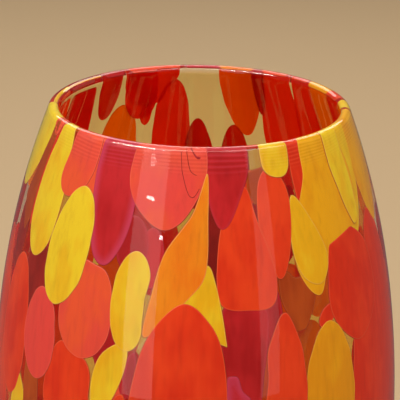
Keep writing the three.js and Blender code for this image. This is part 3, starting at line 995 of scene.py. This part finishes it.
THREADS = [
    [(-6.4, 246.9), (-5.6, 243), (-4.4, 238.5), (-3.2, 235), (-2.0, 233), (-0.6, 234.6), (1.2, 238.6)],
    [(-4.9, 246.9), (-3.9, 244.6), (-2.3, 241.9), (-0.8, 241), (0.8, 241.3)],
    [(-3.4, 246.9), (-2.4, 245.6), (-0.6, 244.4), (1.4, 244.6)],
]


def thread_corners(path, width):
    """The two long sides of a thread laid along [turn, height], as one outline in the same terms."""
    for _ in range(2):
        cut = [path[0]]
        for (a, b), (c, d) in zip(path, path[1:]):
            cut += [(0.75 * a + 0.25 * c, 0.75 * b + 0.25 * d), (0.25 * a + 0.75 * c, 0.25 * b + 0.75 * d)]
        path = cut + [path[-1]]
    spots = np.array(path)
    per_deg = math.radians(1) * outer_radius(min(spots[:, 1].mean(), HEIGHT_MM))
    ahead = np.gradient(spots * [per_deg, 1], axis=0)
    ahead /= np.hypot(*ahead.T)[:, None]
    side = np.stack([-ahead[:, 1] / per_deg, ahead[:, 0]], axis=1) * width / 2
    return list(spots + side) + list((spots - side)[::-1])


loose_sheets = {colour: [] for colour in CHIP_COLOURS}
for colour, tone, is_over, corners in SHARDS + [
    ["ruby", 1.0, 1, thread_corners(t, THREAD_MM)] for t in THREADS
]:
    outline, turn = drawn_outline(corners)
    span = np.ptp(outline, axis=0).min()
    loop = melted(outline, min(0.8, span / 3), 4 if span > 3 else 1)
    if np.cross(loop, np.roll(loop, -1, axis=0)).sum() < 0:
        loop = loop[::-1]
    if loop[:, 1].max() > LIP_CUT_MM - 1:
        loop = over_the_bead(loop)
    layer = OVER_LAYER if is_over else next_layer(cells_of(loop, turn))
    loose_sheets[colour].append(chip_sheet(loop, turn, SKIN_MM + LAYER_MM * layer, tone))
for colour, turn, height, sweep, length, lean, bottom_tip, top_tip, tone in SMALL_CHIPS:
    loop = hand_cut(leaf_loop(sweep, length, height, lean, bottom_tip, top_tip), turn, 0.3)
    if loop[:, 1].max() > LIP_CUT_MM - 0.5:
        loop[:, 1] = np.minimum(loop[:, 1], LIP_CUT_MM + 0.4)
        loop = over_the_bead(melted(loop, 0.9, 1))
    layer = next_layer(cells_of(loop, turn))
    loose_sheets[colour].append(chip_sheet(loop, turn, SKIN_MM + LAYER_MM * layer, tone))


# ---------------------------------------------------------------- chips of the sides, back and foot
# The rest of the pick-up: chips scattered as the gather was rolled over them, so that they cover about four
# fifths of the wall and overlap here and there. None lies on the clear foot.
FILL_SEED = 11
FILL_TRIES = 2600
FILL_SIZES = [(62, 26), (54, 22), (46, 19), (38, 15), (30, 11), (24, 9)]
FILL_COLOURS = ["vermilion"] * 7 + ["yellow"] * 4
FILL_COLOURS += ["ruby"] * 3 + ["orange"] * 3 + ["golden"] * 3 + ["salmon"] * 3
FILL_BOTTOM_MM = 17
FRONT_CLEAR_DEG = 97
FRONT_CLEAR_MM = 146
BACK_CLEAR_MM = 206
OVERLAP_SHARE = 0.16

kept_clear = np.zeros(laid.shape, bool)
for turn in range(360):
    from_front = abs((turn + 180) % 360 - 180)
    kept_clear[turn, FRONT_CLEAR_MM if from_front < FRONT_CLEAR_DEG else BACK_CLEAR_MM :] = True
kept_clear[:, :FILL_BOTTOM_MM] = True
chance = random.Random(FILL_SEED)
for attempt in range(FILL_TRIES):
    length, width = FILL_SIZES[attempt * len(FILL_SIZES) // FILL_TRIES]
    length *= chance.uniform(0.85, 1.12)
    width *= chance.uniform(0.82, 1.15)
    turn = chance.uniform(0, 360)
    height = chance.uniform(FILL_BOTTOM_MM + length / 2, BACK_CLEAR_MM - length / 2)
    colour = chance.choice(FILL_COLOURS)
    lean, tips = chance.gauss(0, 4), (chance.uniform(0.4, 0.75), chance.uniform(0.4, 0.75))
    tone = chance.uniform(-0.3, 0.4)
    sweep = math.degrees(width / outer_radius(height))
    loop = hand_cut(leaf_loop(sweep, length, height, lean, *tips), attempt, 0.6)
    cells = cells_of(loop, turn)
    if kept_clear[cells].any() or (laid[cells] > 0).mean() > OVERLAP_SHARE:
        continue
    layer = next_layer(cells)
    loose_sheets[colour].append(chip_sheet(loop, turn, SKIN_MM + LAYER_MM * layer, tone))

for colour, sheets in loose_sheets.items():
    chip_piece("small_" + colour + "_chips", colour, sheets)


# ---------------------------------------------------------------- floor and studio light
# A plain pale sweep, which curves up well behind the vase, under soft boxes: a tall one on each side of the
# camera, one far out on each side, three high in front, one overhead, and one behind that lights the far
# wall through. A strip lights only the gloss of the lip, and two tiny boxes make the glints on the
# shoulder.
SWEEP_RADIUS = 3.0
SWEEP_RISE = 2.2
SWEEP_BEND = 0.9

sweep_section = [(0.0, 0.0), (0.4, 0.0), (1.2, 0.0)]
for step in range(13):
    a = step / 12 * math.pi / 2
    sweep_section.append(
        (SWEEP_RADIUS - SWEEP_BEND + SWEEP_BEND * math.sin(a), SWEEP_BEND * (1 - math.cos(a)))
    )
sweep_section.append((SWEEP_RADIUS, SWEEP_RISE))
sweep_spots, sweep_faces = [(0.0, 0.0, 0.0)], []
SWEEP_STEPS = 96
for radius, height in sweep_section[1:]:
    for step in range(SWEEP_STEPS):
        a = 2 * math.pi * step / SWEEP_STEPS
        sweep_spots.append((radius * math.cos(a), radius * math.sin(a), height))
for ring_number in range(len(sweep_section) - 1):
    for step in range(SWEEP_STEPS):
        after = (step + 1) % SWEEP_STEPS
        upper, upper_after = 1 + ring_number * SWEEP_STEPS + step, 1 + ring_number * SWEEP_STEPS + after
        if ring_number == 0:
            sweep_faces.append((0, upper, upper_after))
        else:
            sweep_faces.append((upper - SWEEP_STEPS, upper, upper_after, upper_after - SWEEP_STEPS))
sweep_mesh = bpy.data.meshes.new("pale_sweep")
sweep_mesh.from_pydata(sweep_spots, [], sweep_faces)
for face in sweep_mesh.polygons:
    face.use_smooth = True
pale_sweep = bpy.data.objects.new("pale_sweep", sweep_mesh)
bpy.context.collection.objects.link(pale_sweep)
sweep_paint = bpy.data.materials.new("pale_sweep")
sweep_paint.use_nodes = True
paint = sweep_paint.node_tree
paint.nodes.clear()
mottle = add(paint, "ShaderNodeTexNoise", {"Scale": 3.0, "Detail": 3.0}).outputs[0]
pale = add(
    paint,
    "ShaderNodeMix",
    {"Factor": mottle, 6: (0.55, 0.39, 0.22, 1), 7: (0.60, 0.428, 0.245, 1)},
    data_type="RGBA",
)
sweep_skin = add(paint, "ShaderNodeBsdfPrincipled", {"Base Color": pale.outputs[2], "Roughness": 0.8})
add(paint, "ShaderNodeOutputMaterial", {"Surface": sweep_skin.outputs[0]})
sweep_mesh.materials.append(sweep_paint)
# The floor stays out of the gloss of the glass, as it does under a polarised lens.
pale_sweep.visible_glossy = False

# [name, azimuth left of the camera, elevation, distance, width, height, radiance]
SOFT_BOXES = [
    ["left_box", 30, 15, 0.60, 0.19, 0.70, 1.1],
    ["right_box", -40.0, 15, 0.60, 0.12, 0.70, 0.6],
    ["left_far_box", 90, 15, 0.80, 0.90, 0.80, 0.6],
    ["right_far_box", -92, 15, 0.90, 0.40, 0.80, 0.7],
    ["high_left_box", 48, 50, 1.10, 0.90, 0.55, 3.1],
    ["high_front_box", 0, 52, 1.20, 0.90, 0.50, 2.1],
    ["high_right_box", -50, 48, 1.20, 0.80, 0.50, 3.1],
    ["lip_strip", 54, 46, 1.30, 0.80, 0.07, 75.0],
    ["upper_glint", 30, 17, 0.55, 0.045, 0.006, 20.0],
    ["lower_glint", 21, 11, 0.55, 0.018, 0.007, 20.0],
    ["back_box", 180, 42, 1.40, 1.50, 0.80, 3.0],
    ["overhead_box", 180, 80, 1.50, 1.20, 1.20, 0.5],
]
WARM_WHITE = (1.0, 0.97, 0.92)
GLOSS_ONLY = ("lip_strip", "upper_glint", "lower_glint")
NOT_IN_GLOSS = ("left_far_box", "right_far_box")
LIT_HEIGHT = 0.2
SKY_COLOUR = (1.0, 0.96, 0.90, 1)
SKY_STRENGTH = 0.14


def soft_box(name, spot, target, size_x, size_y, radiance):
    """A rectangular lamp that faces the target and isn't seen by the camera."""
    lamp = bpy.data.lights.new(name, "AREA")
    lamp.shape = "RECTANGLE"
    lamp.size, lamp.size_y = size_x, size_y
    lamp.energy = radiance * math.pi * size_x * size_y
    lamp.color = WARM_WHITE
    box = bpy.data.objects.new(name, lamp)
    bpy.context.collection.objects.link(box)
    facing = (target - spot).to_track_quat("-Z", "Y").to_matrix().to_4x4()
    box.matrix_world = Matrix.Translation(spot) @ facing
    box.visible_camera = False
    return box


for name, azimuth, elevation, distance, wide, tall, radiance in SOFT_BOXES:
    across, rise = math.radians(azimuth), math.radians(elevation)
    toward = Vector((-math.sin(across) * math.cos(rise), -math.cos(across) * math.cos(rise), math.sin(rise)))
    target = Vector((0, 0, LIT_HEIGHT))
    box = soft_box(name, target + distance * toward, target, wide, tall, radiance)
    box.visible_transmission = name not in ("back_box", *GLOSS_ONLY)
    box.visible_diffuse = name not in GLOSS_ONLY
    box.visible_glossy = name not in NOT_IN_GLOSS

sky = bpy.data.worlds.new("studio")
sky.use_nodes = True
sky.node_tree.nodes["Background"].inputs["Color"].default_value = SKY_COLOUR
sky.node_tree.nodes["Background"].inputs["Strength"].default_value = SKY_STRENGTH
bpy.context.scene.world = sky
